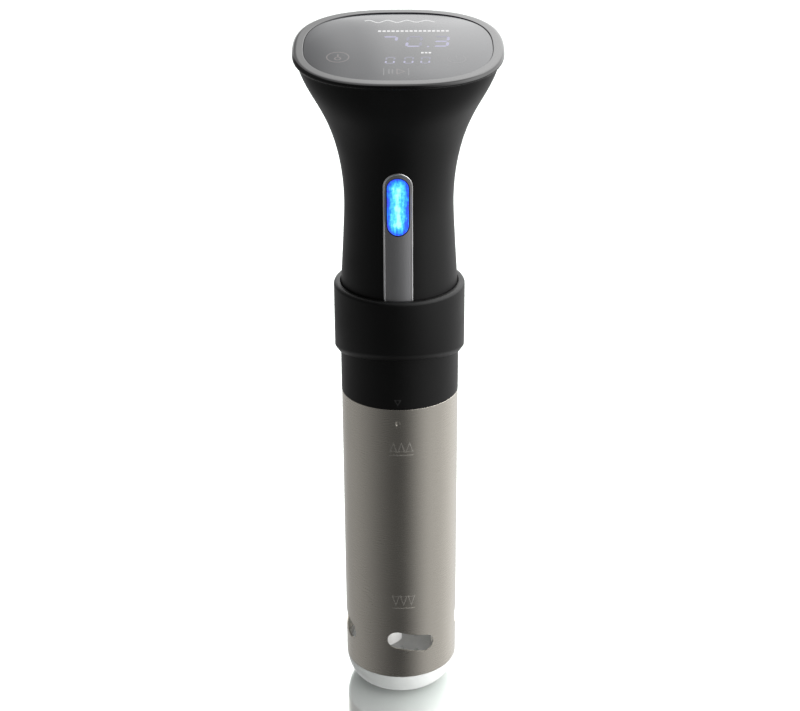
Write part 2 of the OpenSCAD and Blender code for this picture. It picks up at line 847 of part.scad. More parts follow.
module probe_seal(spot, r) {
    translate([spot[0], spot[1], plate_z0 - 1.5]) difference() {
        union() {
            cylinder(r = r + 0.98, h = 4);
            cylinder(r = r + 1.4, h = 1.5 - eps);
            translate([0, 0, 3 + eps]) cylinder(r = r + 1.4, h = 1.5);
        }
        translate([0, 0, -1]) cylinder(r = r, h = 8);
    }
}

module probe_seals() {
    color([0.1, 0.1, 0.1]) {
        probe_seal(probe_spot, probe_r);
        for (p = level_spots) probe_seal(p, level_r);
    }
}

module shaft_tube() {
    color([0.75, 0.75, 0.77]) ring(tube_r, 3.6, 62, 197);
}

module shaft_bushing() {
    color([0.3, 0.3, 0.3]) union() {
        ring(3.6, shaft_r + run_gap, 62, 70);
        ring(5.6, shaft_r + run_gap, 60.2, 62 - eps);
    }
}

module shaft_seal() {
    color([0.1, 0.1, 0.1]) ring(3.6, shaft_r + run_gap, 186, 192);
}

// ---- sleeve and cap ----
sleeve_in = sleeve_r - sleeve_wall;
ring_z0 = 171;
ring_z1 = 186.5;
dimple_turn = -92;
pin_turns = [60, 180, 300];

module sleeve_ring() {
    color([0.08, 0.08, 0.08]) difference() {
        ring(sleeve_in - 0.01, 29.6, ring_z0, ring_z1);
        for (w = lug_turns) {
            arc_block(29, 31, 174.6, 178.8, w - 7.5 - twist_max, 15 + twist_max);
            arc_block(29, 31, 174.6, ring_z1 + 1, w - 7.5 - twist_max, 15);
        }
    }
}

module steel_sleeve() {
    color([0.55, 0.52, 0.48]) difference() {
        union() {
            ring(sleeve_r, sleeve_in, sleeve_z0, sleeve_z1);
            for (w = pin_turns) rotate([0, 0, w]) translate([0, 0, 20]) rod_x(1.2, 30.8, 32);
        }
        for (i = [0:3]) rotate([0, 0, slot_turn + 90 * i])
            translate([0, 0, slot_z]) front_prism(-40, -20) rotate(-slot_lean)
                slot_outline(slot_len, slot_h);
        rotate([0, 0, dimple_turn]) translate([0, 0, 179.2]) rod_x(1.4, sleeve_r - 0.35, sleeve_r + 2);
    }
}

cap_wall = 2.2;
cap_curve = [[foot_r, 0], [26.8, 0.6], [31.4, 5.4], [sleeve_r - 0.05, sleeve_z0 - 0.1]];
cap_steps = 12;
lip_r = sleeve_in - 0.15;
lip_in = 29.3;
lip_top = 23.4;
cap_outer = [for (i = [0:cap_steps]) bezier(cap_curve, i / cap_steps)];
cap_inner = [
    for (i = [cap_steps - 2:-1:0])
        let (k = i / cap_steps)
        cap_outer[i] - [cap_wall * (0.6 + 0.4 * k), -cap_wall * (1 - k)]
];
cap_lip = [[lip_r, sleeve_z0 - 0.1], [lip_r, lip_top], [lip_in, lip_top], [lip_in, sleeve_z0 - 1]];
inlet_count = 12;

module bottom_cap() {
    color([0.85, 0.85, 0.86]) difference() {
        rotate_extrude() polygon(concat([[0, 0]], cap_outer, cap_lip, cap_inner, [[0, cap_wall]]));
        for (i = [0:inlet_count - 1]) rotate([0, 0, i * 360 / inlet_count])
            translate([15.2, 0, -1]) linear_extrude(6) slot_outline(10, 3.4);
        for (w = pin_turns) {
            arc_block(30.4, 33, 18.6, 21.4, w - 3, 6.2 + twist_max);
            arc_block(30.45, 33.1, 19, 24, w - 2.8 + twist_max, 5.6);
        }
    }
}

handle_housing();
top_bezel();
touch_glass();
display_board();
digit_display();
key_lamps();
touch_pads();
board_screws();
buzzer();
trim_strip();
trim_frame();
led_lens();
led_board();
led_chips();
board_bracket();
power_board();
relay();
capacitors();
transformer();
heat_sink();
terminal_block();
fuse();
cord_gland();
lower_housing();
housing_seal();
housing_screws();
clamp_collar();
collar_screws();
clamp_pin();
clamp_spring();
clamp_lever();
jaw_pad();
plate_seal();
base_plate();
plate_screws();
motor_mount();
motor_can();
motor_cover();
motor_magnets();
motor_bearings();
motor_screws();
motor_spacers();
rotor_core();
drive_shaft();
impeller();
impeller_screw();
heater_coil();
heater_nuts();
heater_tabs();
temperature_probe();
level_probes();
probe_seals();
shaft_tube();
shaft_bushing();
shaft_seal();
sleeve_ring();
steel_sleeve();
bottom_cap();
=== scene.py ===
"""A sous vide circulator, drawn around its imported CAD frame. Metres; Z is up and the front is -Y."""

import json
import math

import bmesh
import bpy
import numpy as np
from mathutils import Matrix, Vector


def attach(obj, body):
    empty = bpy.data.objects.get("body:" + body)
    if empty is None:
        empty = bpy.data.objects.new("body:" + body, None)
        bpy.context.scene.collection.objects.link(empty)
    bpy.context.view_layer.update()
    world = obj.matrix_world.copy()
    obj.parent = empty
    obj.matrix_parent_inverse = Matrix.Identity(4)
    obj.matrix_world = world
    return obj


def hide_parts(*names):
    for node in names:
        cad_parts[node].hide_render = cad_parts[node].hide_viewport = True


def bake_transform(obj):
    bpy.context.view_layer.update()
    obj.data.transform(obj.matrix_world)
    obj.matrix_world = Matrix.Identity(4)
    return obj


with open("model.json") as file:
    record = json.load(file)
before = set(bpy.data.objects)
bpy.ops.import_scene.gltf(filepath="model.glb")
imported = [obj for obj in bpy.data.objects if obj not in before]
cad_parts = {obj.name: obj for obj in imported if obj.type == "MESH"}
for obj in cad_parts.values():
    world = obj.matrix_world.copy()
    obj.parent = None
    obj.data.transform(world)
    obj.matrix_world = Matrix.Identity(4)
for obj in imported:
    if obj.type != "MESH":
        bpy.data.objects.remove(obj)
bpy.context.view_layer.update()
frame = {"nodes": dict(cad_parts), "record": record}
scene = bpy.context.scene
MM = 0.001

# ---------------------------------------------------------------- camera and picture

camera_data = bpy.data.cameras.new("camera")
camera_data.sensor_width = 36.0
camera_data.lens = 68.89
camera_data.clip_start = 0.01
camera_data.clip_end = 50.0
camera = bpy.data.objects.new("camera", camera_data)
scene.collection.objects.link(camera)
scene.camera = camera
yaw, pitch, roll = (math.radians(a) for a in (0.013, 22.61, -0.30))
forward = Vector((math.sin(yaw) * math.cos(pitch), math.cos(yaw) * math.cos(pitch), -math.sin(pitch)))
right = Vector((math.cos(yaw), -math.sin(yaw), 0.0))
up = right.cross(forward)
right_rolled = right * math.cos(roll) + up * math.sin(roll)
up_rolled = up * math.cos(roll) - right * math.sin(roll)
camera.matrix_world = Matrix.Translation((0.0, -0.7881, 0.5343)) @ Matrix(
    (right_rolled, up_rolled, -forward)
).transposed().to_4x4()
scene.view_settings.view_transform = "Standard"
scene.view_settings.look = "None"

# ---------------------------------------------------------------- node helpers


def add(tree, kind, settings=None, **inputs):
    """A new node; settings are its own properties, and inputs its sockets: values or other nodes' outputs."""
    node = tree.nodes.new(kind)
    for key, value in (settings or {}).items():
        setattr(node, key, value)
    for key, value in inputs.items():
        by_number = key[0] == "i" and key[1:].isdigit()
        socket = node.inputs[int(key[1:]) if by_number else key.replace("_", " ")]
        if isinstance(value, bpy.types.NodeSocket):
            tree.links.new(value, socket)
        else:
            socket.default_value = value
    return node


def math_node(tree, operation, a, b=0.0):
    return add(tree, "ShaderNodeMath", {"operation": operation}, i0=a, i1=b).outputs[0]


def share_of(tree, a, b, share):
    """A share of a, with the rest made up by b."""
    first = math_node(tree, "MULTIPLY", a, share)
    second = math_node(tree, "MULTIPLY", b, 1.0 - share)
    return math_node(tree, "ADD", first, second)


def ramp(tree, factor, stops, interpolation="EASE"):
    node = add(tree, "ShaderNodeValToRGB", {}, i0=factor)
    node.color_ramp.interpolation = interpolation
    elements = node.color_ramp.elements
    while len(elements) < len(stops):
        elements.new(0.5)
    for element, (at, colour) in zip(elements, stops):
        element.position = at
        element.color = (colour, colour, colour, 1.0) if isinstance(colour, (int, float)) else (*colour, 1.0)
    return node.outputs[0]


def remap(tree, value, low, high, to_low, to_high):
    return add(tree, "ShaderNodeMapRange", {}, i0=value, i1=low, i2=high, i3=to_low, i4=to_high).outputs[0]


def mix_colour(tree, factor, a, b):
    node = tree.nodes.new("ShaderNodeMix")
    node.data_type = "RGBA"
    for socket, value in ((node.inputs[0], factor), (node.inputs[6], a), (node.inputs[7], b)):
        if isinstance(value, bpy.types.NodeSocket):
            tree.links.new(value, socket)
        else:
            socket.default_value = value if isinstance(value, (int, float)) else (*value[:3], 1.0)
    return node.outputs[2]


# ---------------------------------------------------------------- studio light

ENV_GAIN = 4.0
# a soft studio, bright behind and to the right, dim in front: (turn, brightness), where turn is 0 behind the
# object, 0.25 on its left, 0.5 in front and 0.75 on its right
LOW_BAND = [(0.0, 0.20), (0.15, 0.10), (0.5, 0.02), (0.7, 0.15), (0.9, 0.25), (1.0, 0.20)]
HIGH_BAND = [(0.0, 0.6), (0.06, 0.5), (0.12, 0.05), (0.5, 0.01), (0.7, 1.0), (1.0, 0.6)]

world = bpy.data.worlds.new("studio")
scene.world = world
world.use_nodes = True
sky = world.node_tree
sky.nodes.clear()
way = add(sky, "ShaderNodeSeparateXYZ", {}, i0=add(sky, "ShaderNodeTexCoord").outputs["Generated"])
turn = math_node(sky, "ARCTAN2", way.outputs[0], math_node(sky, "MULTIPLY", way.outputs[1], -1.0))
turn = math_node(sky, "ADD", math_node(sky, "DIVIDE", turn, 2 * math.pi), 0.5)
band = mix_colour(
    sky,
    remap(sky, way.outputs[2], -0.12, 0.22, 0.0, 1.0),
    ramp(sky, turn, LOW_BAND),
    ramp(sky, turn, HIGH_BAND),
)
ceiling = mix_colour(sky, remap(sky, way.outputs[2], 0.86, 0.99, 0.0, 1.0), band, (0.42, 0.42, 0.42))
light_path = add(sky, "ShaderNodeLightPath")
seen = mix_colour(sky, light_path.outputs["Is Camera Ray"], ceiling, (0.26, 0.26, 0.26))
backing = add(sky, "ShaderNodeBackground", {}, Color=seen, Strength=ENV_GAIN)
add(sky, "ShaderNodeOutputWorld", {}, Surface=backing.outputs[0])

# ---------------------------------------------------------------- floor and reflection card


def mesh_object(name, verts, faces):
    mesh = bpy.data.meshes.new(name)
    mesh.from_pydata([tuple(v) for v in verts], [], faces)
    mesh.validate()
    obj = bpy.data.objects.new(name, mesh)
    scene.collection.objects.link(obj)
    return obj


FLOOR_GLOSS = 0.8
floor_material = bpy.data.materials.new("floor")
floor_material.use_nodes = True
floor_tree = floor_material.node_tree
floor_tree.nodes.clear()
floor_diffuse = add(floor_tree, "ShaderNodeBsdfDiffuse", {}, Color=(0.93, 0.935, 0.93, 1.0))
floor_gloss = add(floor_tree, "ShaderNodeBsdfGlossy", {}, Color=(0.60, 0.64, 0.615, 1.0), Roughness=0.04)
floor_parts = {"i1": floor_diffuse.outputs[0], "i2": floor_gloss.outputs[0]}
floor_mix = add(floor_tree, "ShaderNodeMixShader", {}, i0=FLOOR_GLOSS, **floor_parts)
floor_glow = add(floor_tree, "ShaderNodeEmission", {}, Color=(1.0, 1.0, 1.0, 1.0), Strength=0.06)
floor_sum = add(floor_tree, "ShaderNodeAddShader", {}, i0=floor_mix.outputs[0], i1=floor_glow.outputs[0])
add(floor_tree, "ShaderNodeOutputMaterial", {}, Surface=floor_sum.outputs[0])
floor = mesh_object("floor", [(-6, -3, 0), (6, -3, 0), (6, 9, 0), (-6, 9, 0)], [(0, 1, 2, 3)])
floor.data.materials.append(floor_material)
floor.visible_glossy = False

# a bright card above and behind, which the glossy head mirrors; the camera doesn't see it
card_material = bpy.data.materials.new("card")
card_material.use_nodes = True
card_tree = card_material.node_tree
card_tree.nodes.clear()
card_coord = add(card_tree, "ShaderNodeTexCoord").outputs["Object"]
card_at = add(card_tree, "ShaderNodeSeparateXYZ", {}, i0=card_coord)
card_across = ramp(
    card_tree,
    remap(card_tree, card_at.outputs[0], -0.3, 0.3, 0.0, 1.0),
    [(0.0, 0.24), (0.3, 0.56), (0.5, 0.8), (0.75, 0.95), (1.0, 0.95)],
)
card_along = remap(card_tree, card_at.outputs[1], -0.2, 0.3, 0.88, 1.45)
card_light = math_node(card_tree, "MULTIPLY", card_across, card_along)
card_glow = add(card_tree, "ShaderNodeEmission", {}, Color=card_light, Strength=3.6)
add(card_tree, "ShaderNodeOutputMaterial", {}, Surface=card_glow.outputs[0])
card_corners = [(-0.55, -0.30, 0), (0.55, -0.30, 0), (0.55, 0.62, 0), (-0.55, 0.62, 0)]
card = mesh_object("card", card_corners, [(0, 1, 2, 3)])
card.data.materials.append(card_material)
card.location = (0.0, 0.78, 1.02)
card.rotation_euler = (math.radians(130.0), 0.0, 0.0)
card.visible_camera = False
card.visible_shadow = False

# a faint stage light inside the sleeve, behind the front slot, so that the impeller shows
lamp_data = bpy.data.lights.new("slot_fill", "POINT")
lamp_data.energy = 0.0035
lamp_data.shadow_soft_size = 0.001
lamp_data.specular_factor = 0.15
lamp_object = bpy.data.objects.new("slot_fill", lamp_data)
lamp_object.location = (0.0135, -0.0265, 0.0425)
scene.collection.objects.link(lamp_object)

# ---------------------------------------------------------------- materials


def shader(name):
    material = bpy.data.materials.new(name)
    material.use_nodes = True
    tree = material.node_tree
    tree.nodes.clear()
    surface = tree.nodes.new("ShaderNodeBsdfPrincipled")
    add(tree, "ShaderNodeOutputMaterial", {}, Surface=surface.outputs[0])
    return material, tree, surface


def place(tree, stretch=(1.0, 1.0, 1.0)):
    """Position in millimetres in the object's own frame, scaled by stretch."""
    coord = add(tree, "ShaderNodeTexCoord").outputs["Object"]
    scale = tuple(1000.0 * s for s in stretch)
    return add(tree, "ShaderNodeMapping", {}, Vector=coord, Scale=scale).outputs[0]


def noise(tree, where, scale, detail=3.0, roughness=0.55):
    node = add(tree, "ShaderNodeTexNoise", {}, Vector=where, Scale=scale, Detail=detail, Roughness=roughness)
    return node.outputs["Fac"]


ROUGH_SPREAD = 0.12


def finish(name, colour, rough, *, grain, bump, metallic=0.0, vary=0.12, stretch=(1, 1, 1), **own):
    """Drifting colour, uneven roughness and a fine grain; own values go straight on the shader."""
    material, tree, surface = shader(name)
    where = place(tree, stretch)
    drift = noise(tree, where, 0.05)
    fine = noise(tree, where, grain, 4.0)
    low = tuple(c * (1 - vary) for c in colour)
    high = tuple(min(1.0, c * (1 + vary)) for c in colour)
    shade = mix_colour(tree, remap(tree, drift, 0.3, 0.7, 0.0, 1.0), low, high)
    tree.links.new(shade, surface.inputs["Base Color"])
    uneven = share_of(tree, drift, fine, 0.6)
    worn = remap(tree, uneven, 0.3, 0.7, rough * (1 - ROUGH_SPREAD), rough * (1 + ROUGH_SPREAD))
    tree.links.new(worn, surface.inputs["Roughness"])
    relief = add(tree, "ShaderNodeBump", {}, Strength=0.5, Distance=bump * MM, Height=fine)
    tree.links.new(relief.outputs[0], surface.inputs["Normal"])
    surface.inputs["Metallic"].default_value = metallic
    for key, value in own.items():
        surface.inputs[key.replace("_", " ")].default_value = value
    return material


def board_finish():
    """Green board with thin copper tracks under the mask."""
    material, tree, surface = shader("board_green")
    where = place(tree)
    tracks = add(tree, "ShaderNodeTexBrick", {"offset": 0.3}, Vector=where, Scale=0.28, Mortar_Size=0.05)
    base = mix_colour(tree, noise(tree, where, 0.3), (0.012, 0.09, 0.035), (0.02, 0.13, 0.05))
    shade = mix_colour(tree, tracks.outputs["Fac"], base, (0.03, 0.2, 0.07))
    tree.links.new(shade, surface.inputs["Base Color"])
    tree.links.new(remap(tree, noise(tree, where, 1.0), 0.3, 0.7, 0.3, 0.45), surface.inputs["Roughness"])
    return material


def steel_finish():
    """Satin steel: fine turned lines round the sleeve and faint smears."""
    material, tree, surface = shader("steel_sleeve")
    where = place(tree)
    lines = noise(tree, place(tree, (0.02, 0.02, 1.0)), 9.0, 3.0, 0.6)
    smear = noise(tree, where, 0.035, 2.0)
    tint = mix_colour(tree, remap(tree, lines, 0.3, 0.7, 0.0, 1.0), (0.585, 0.55, 0.49), (0.66, 0.625, 0.56))
    tree.links.new(tint, surface.inputs["Base Color"])
    uneven = share_of(tree, lines, smear, 0.5)
    tree.links.new(remap(tree, uneven, 0.3, 0.7, 0.22, 0.31), surface.inputs["Roughness"])
    relief = add(tree, "ShaderNodeBump", {}, Strength=0.3, Distance=0.004 * MM, Height=lines)
    tree.links.new(relief.outputs[0], surface.inputs["Normal"])
    surface.inputs["Metallic"].default_value = 1.0
    surface.inputs["Anisotropic"].default_value = 0.35
    tangent = add(tree, "ShaderNodeTangent", {"direction_type": "RADIAL", "axis": "Z"})
    tree.links.new(tangent.outputs[0], surface.inputs["Tangent"])
    return material


# the satin strip on the front of the handle, and the lit window in it
TRIM_X, TRIM_W, TRIM_TOP, TRIM_LOW = -0.5, 15.4, 319.6, 249.0
LED_W, LED_H, LED_Z = 12.3, 31.8, 301.2
# where the glow ends: the radius of the window's round ends, and half its straight part
LENS_RADIUS, LENS_STRAIGHT = 6.2, 9.7


def lens_finish():
    """Lit blue lens: a pale cyan core broken by streaks, deep blue towards the rim."""
    material, tree, surface = shader("blue_lens")
    where = place(tree)
    split = add(tree, "ShaderNodeSeparateXYZ", {}, i0=where)
    across = math_node(tree, "DIVIDE", math_node(tree, "SUBTRACT", split.outputs[0], TRIM_X), LENS_RADIUS)
    off_middle = math_node(tree, "ABSOLUTE", math_node(tree, "SUBTRACT", split.outputs[2], LED_Z))
    past_straight = math_node(tree, "MAXIMUM", math_node(tree, "SUBTRACT", off_middle, LENS_STRAIGHT), 0.0)
    along = math_node(tree, "DIVIDE", past_straight, LENS_RADIUS)
    squares = [math_node(tree, "MULTIPLY", v, v) for v in (across, along)]
    radius = math_node(tree, "SQRT", math_node(tree, "ADD", *squares))
    streaks = noise(tree, place(tree, (1.0, 1.0, 0.22)), 0.85, 5.0, 0.65)
    patches = noise(tree, where, 0.42, 4.0, 0.6)
    mottled = share_of(tree, streaks, patches, 0.6)
    level = math_node(tree, "ADD", radius, remap(tree, mottled, 0.3, 0.7, 0.42, -0.42))
    glow = ramp(
        tree,
        level,
        [
            (0.0, (0.42, 0.95, 1.0)),
            (0.3, (0.10, 0.70, 1.0)),
            (0.62, (0.02, 0.28, 0.97)),
            (0.85, (0.015, 0.07, 0.80)),
            (1.0, (0.04, 0.04, 0.55)),
        ],
        "LINEAR",
    )
    rim_light = remap(tree, radius, 0.90, 1.0, 0.0, 1.0)
    glow = mix_colour(tree, rim_light, glow, (0.16, 0.22, 0.62))
    tree.links.new(glow, surface.inputs["Emission Color"])
    surface.inputs["Emission Strength"].default_value = 1.25
    surface.inputs["Base Color"].default_value = (0.02, 0.06, 0.3, 1.0)
    surface.inputs["Roughness"].default_value = 0.12
    relief = add(tree, "ShaderNodeBump", {}, Strength=0.4, Distance=0.3 * MM, Height=mottled)
    tree.links.new(relief.outputs[0], surface.inputs["Normal"])
    return material


MATERIALS = {
    "matte_black": finish(
        "matte_black", (0.0007, 0.0007, 0.0007), 0.48, grain=2.6, bump=0.012, Specular_IOR_Level=0.28
    ),
    "gloss_black": finish(
        "gloss_black", (0.002, 0.002, 0.0022), 0.09, grain=0.4, bump=0.001, Specular_IOR_Level=0.58
    ),
    "display_glass": finish(
        "display_glass", (0.006, 0.007, 0.010), 0.1, grain=0.3, bump=0.0005, Specular_IOR_Level=0.5
    ),
    "steel_sleeve": steel_finish(),
    "bright_steel": finish("bright_steel", (0.62, 0.61, 0.6), 0.26, metallic=1.0, grain=2.0, bump=0.006),
    "chrome": finish("chrome", (0.95, 0.95, 0.96), 0.34, metallic=1.0, grain=1.0, bump=0.002),
    "satin_metal": finish(
        "satin_metal", (0.42, 0.42, 0.43), 0.46, metallic=1.0, grain=3.0, bump=0.006, stretch=(1, 1, 0.05)
    ),
    "cap_white": finish("cap_white", (0.80, 0.805, 0.80), 0.24, vary=0.03, grain=2.5, bump=0.008),
    "impeller_white": finish("impeller_white", (0.88, 0.88, 0.87), 0.3, vary=0.03, grain=2.0, bump=0.01),
    "blue_lens": lens_finish(),
    "rubber_black": finish("rubber_black", (0.012, 0.012, 0.012), 0.62, grain=3.0, bump=0.02),
    "silicone_grey": finish("silicone_grey", (0.10, 0.10, 0.105), 0.55, grain=2.6, bump=0.02),
    "board_green": board_finish(),
    "component_black": finish("component_black", (0.015, 0.015, 0.017), 0.4, grain=2.2, bump=0.01),
    "component_blue": finish("component_blue", (0.015, 0.04, 0.17), 0.35, grain=2.0, bump=0.008),
    "component_yellow": finish("component_yellow", (0.46, 0.27, 0.03), 0.45, grain=1.5, bump=0.02),
    "component_pale": finish("component_pale", (0.66, 0.66, 0.58), 0.42, vary=0.06, grain=1.8, bump=0.012),
    "heater_steel": finish(
        "heater_steel", (0.34, 0.29, 0.25), 0.34, metallic=1.0, vary=0.25, grain=0.8, bump=0.01
    ),
    "copper": finish(
        "copper", (0.72, 0.36, 0.17), 0.28, metallic=1.0, grain=3.0, bump=0.02, stretch=(1, 1, 0.2)
    ),
}

for part in frame["record"]["subparts"]:
    node = frame["nodes"][part["node"]]
    node.data.materials.clear()
    node.data.materials.append(MATERIALS[part["material_slot"]])

# ---------------------------------------------------------------- geometry helpers


def smooth_shade(obj, degrees=35.0):
    obj.data.shade_smooth()
    obj.data.set_sharp_from_angle(angle=math.radians(degrees))


def bake_modifiers(obj):
    made = bpy.data.meshes.new_from_object(obj.evaluated_get(bpy.context.evaluated_depsgraph_get()))
    obj.modifiers.clear()
    obj.data = made
    return obj


def carve(obj, other, operation="DIFFERENCE"):
    cut = obj.modifiers.new("carve", "BOOLEAN")
    cut.operation = operation
    cut.solver = "EXACT"
    cut.object = other
    bake_modifiers(obj)
    bpy.data.objects.remove(other)
    return obj


def round_edges(obj, width, segments=3, degrees=30.0):
    edge = obj.modifiers.new("edges", "BEVEL")
    edge.width = width * MM
    edge.segments = segments
    edge.limit_method = "ANGLE"
    edge.angle_limit = math.radians(degrees)
    return bake_modifiers(obj)


def loft(name, rings, loop=False, caps=False):
    """Faces through rings of points, each ring closed; loop joins the last ring to the first."""
    count, sides = len(rings), len(rings[0])
    verts = np.array(rings, float).reshape(-1, 3) * MM
    faces = []
    for i in range(count if loop else count - 1):
        j = (i + 1) % count
        for k in range(sides):
            n = (k + 1) % sides
            faces.append((i * sides + k, i * sides + n, j * sides + n, j * sides + k))
    if caps:
        faces.append(tuple(range(sides - 1, -1, -1)))
        faces.append(tuple(range((count - 1) * sides, count * sides)))
    obj = mesh_object(name, verts, faces)
    tidy = bmesh.new()
    tidy.from_mesh(obj.data)
    bmesh.ops.recalc_face_normals(tidy, faces=tidy.faces)
    tidy.to_mesh(obj.data)
    tidy.free()
    return obj


def full_turn(sides):
    """Even angles once round."""
    return np.linspace(0, 2 * math.pi, sides, endpoint=False)


def circle(cx, cz, r, sides):
    return [(cx + r * math.cos(w), cz + r * math.sin(w)) for w in full_turn(sides)]


def arc(cx, cz, r, start, stop, steps):
    """Points along a circle, from start to stop in degrees."""
    return [(cx + r * math.cos(w), cz + r * math.sin(w)) for w in np.radians(np.linspace(start, stop, steps))]


def revolve(name, profile, sides):
    """A closed profile of radius and height, turned about Z."""
    rings = [[(r * math.cos(w), r * math.sin(w), z) for w in full_turn(sides)] for r, z in profile]
    return loft(name, rings, loop=True)


def prism(name, outline, low, high, axis="Y"):
    """An outline pushed from low to high along an axis; its points are the other two coordinates."""

    def at(p, h):
        return {"X": (h, p[0], p[1]), "Y": (p[0], h, p[1])}[axis]

    return loft(name, [[at(p, low) for p in outline], [at(p, high) for p in outline]], caps=True)


def obround(cx, cz, width, height, steps=24):
    """A slot's outline with round ends, clockwise from its top; steps / 2 points in each quarter."""
    r = min(width, height) / 2
    dx, dz = width / 2 - r, height / 2 - r
    quarter = steps // 4 * 2
    points = []
    for sx, sz, start in ((1, 1, 90), (1, -1, 0), (-1, -1, -90), (-1, 1, -180)):
        for i in range(quarter + 1):
            w = math.radians(start - 90 * i / quarter)
            points.append((cx + sx * dx + r * math.cos(w), cz + sz * dz + r * math.sin(w)))
    kept = []
    for p in points:
        if not kept or math.dist(p, kept[-1]) > 1e-6:
            kept.append(p)
    if math.dist(kept[0], kept[-1]) < 1e-6:
        kept.pop()
    return kept


def part_of(obj, body, slot, *nodes):
    """Finishes a piece: its material slot, the body it rides on and the CAD nodes it stands for."""
    obj.data.materials.clear()
    obj.data.materials.append(MATERIALS[slot])
    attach(obj, body)
    if nodes:
        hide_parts(*nodes)
    return obj


# ---------------------------------------------------------------- handle

# the handle's side view as (radius, height): two cubic curves, the tapering grip and the flare
GRIP = np.array([[32.5, 240.0], [31.4, 257.0], [29.3, 288.0], [29.3, 296.0]])
FLARE = np.array([[29.3, 296.0], [29.3, 337.7], [46.3, 353.1], [52.9, 377.4]])
HEAD_A, HEAD_B, HEAD_POWER = 54.4, 45.0, 2.55
HEAD_TILT = math.radians(14.5)
HEAD_Y, HEAD_Z = -3.0, 377.4
HANDLE_WALL = 2.6
HEAD_EDGE = 0.35
BEZEL_H = 2.4


def bezier(p, t):
    return (1 - t) ** 3 * p[0] + 3 * t * (1 - t) ** 2 * p[1] + 3 * t * t * (1 - t) * p[2] + t**3 * p[3]


def smoothstep(x):
    x = min(1.0, max(0.0, x))
    return x * x * (3 - 2 * x)


def rim_point(a, b, power, w):
    """A point of a superellipse with half widths a and b."""
    c, s = math.cos(w), math.sin(w)
    return (math.copysign(abs(c) ** (2 / power) * a, c), math.copysign(abs(s) ** (2 / power) * b, s))


def rim_angles(sides):
    """Angles that space the points of a superellipse evenly along it."""
    fine = np.linspace(0, 2 * math.pi, 4001)
    pts = np.array([rim_point(1.2, 1.0, HEAD_POWER, w) for w in fine])
    run = np.concatenate([[0], np.cumsum(np.hypot(*np.diff(pts, axis=0).T))])
    return np.interp(np.linspace(0, run[-1], sides, endpoint=False), run, fine)


def handle_ring(r, z, m, inset, angles):
    """A ring of the handle: m is 0 where it is round and upright, and 1 at the leaning oblong head."""
    a = r - inset
    b = r * (1 + m * (HEAD_B / HEAD_A - 1)) - inset
    power, lean = 2 + m * (HEAD_POWER - 2), m * HEAD_TILT
    ring = []
    for w in angles:
        x, y = rim_point(a, b, power, w)
        ring.append((x, m * HEAD_Y + y * math.cos(lean), z + y * math.sin(lean)))
    return ring


handle_curve = [(*bezier(GRIP, t), 0.0) for t in np.linspace(0, 1, 20, endpoint=False)]
handle_curve += [(*bezier(FLARE, t), smoothstep((t - 0.3) / 0.7)) for t in np.linspace(0, 1, 64)]
skin_z = np.array([p[1] for p in handle_curve])
skin_r = np.array([p[0] for p in handle_curve])


def skin_point(x, z, off):
    """A point over the round part of the handle's front, off millimetres outside it."""
    r = float(np.interp(z, skin_z, skin_r)) + off
    return (x, -math.sqrt(r * r - x * x), z)


HANDLE_SIDES = 224
even = rim_angles(HANDLE_SIDES)
outer_rings = [handle_ring(r, z, m, 0.0, even) for r, z, m in handle_curve]
inner_rings = [handle_ring(r, z, m, HANDLE_WALL, even) for r, z, m in reversed(handle_curve[::3])]
r, z, m = handle_curve[-1]
outer_rings[-1] = handle_ring(r, z - HEAD_EDGE, m, 0.0, even)
outer_rings.append(handle_ring(r, z, m, HEAD_EDGE, even))
handle = loft("handle_shell", outer_rings + inner_rings, loop=True)

GLAND_Z = 330.0
BOSS_PROFILE = [(30.5, 9.5), (37.3, 9.5), (37.8, 9.3), (38.0, 8.8)]
carve(handle, prism("led_cut", obround(TRIM_X, LED_Z, LED_W - 0.8, LED_H - 0.8), -40, -20))
boss_rings = [[(x, y, z) for x, z in circle(0, GLAND_Z, radius, 64)] for y, radius in BOSS_PROFILE]
boss = loft("boss", boss_rings, caps=True)
carve(handle, boss, "UNION")
carve(handle, prism("gland_cut", circle(0, GLAND_Z, 6.5, 64), 20, 50))
smooth_shade(handle)
part_of(handle, "housing", "matte_black", "handle_housing")

# ---------------------------------------------------------------- head: rim, glass and display

head_frame = Matrix.Translation((0.0, HEAD_Y * MM, HEAD_Z * MM)) @ Matrix.Rotation(HEAD_TILT, 4, "X")


def on_head(obj):
    obj.data.transform(head_frame)
    return obj


def rim_ring(inset, height, angles, a=HEAD_A, b=HEAD_B):
    return [(*rim_point(a - inset, b - inset, HEAD_POWER, w), height) for w in angles]


# the rim as (inset, height): a small lower edge, a superellipse round to the top, and the step for the glass
ROUND_W, ROUND_LOW, ROUND_POWER = 2.7, 0.42, 2.1
rim_profile = [(0.45, 0.02), (0.12, 0.2)]
for w in np.linspace(0, math.pi / 2, 10):
    x, y = rim_point(ROUND_W, BEZEL_H - ROUND_LOW, ROUND_POWER, w)
    rim_profile.append((ROUND_W - x, ROUND_LOW + y))
rim_profile += [(4.3, BEZEL_H), (5.3, BEZEL_H), (5.45, BEZEL_H)]
rim_profile += arc(5.45, BEZEL_H - 0.35, 0.35, 80, 0, 4)
rim_profile += [(5.8, 0.15), (10.8, 0.15), (10.8, -3.4), (5.3, -3.4), (5.3, 0.02)]
wide = rim_angles(256)
rim = on_head(loft("display_rim", [rim_ring(i, h, wide) for i, h in rim_profile], loop=True))
smooth_shade(rim, 40.0)
part_of(rim, "housing", "gloss_black", "top_bezel")

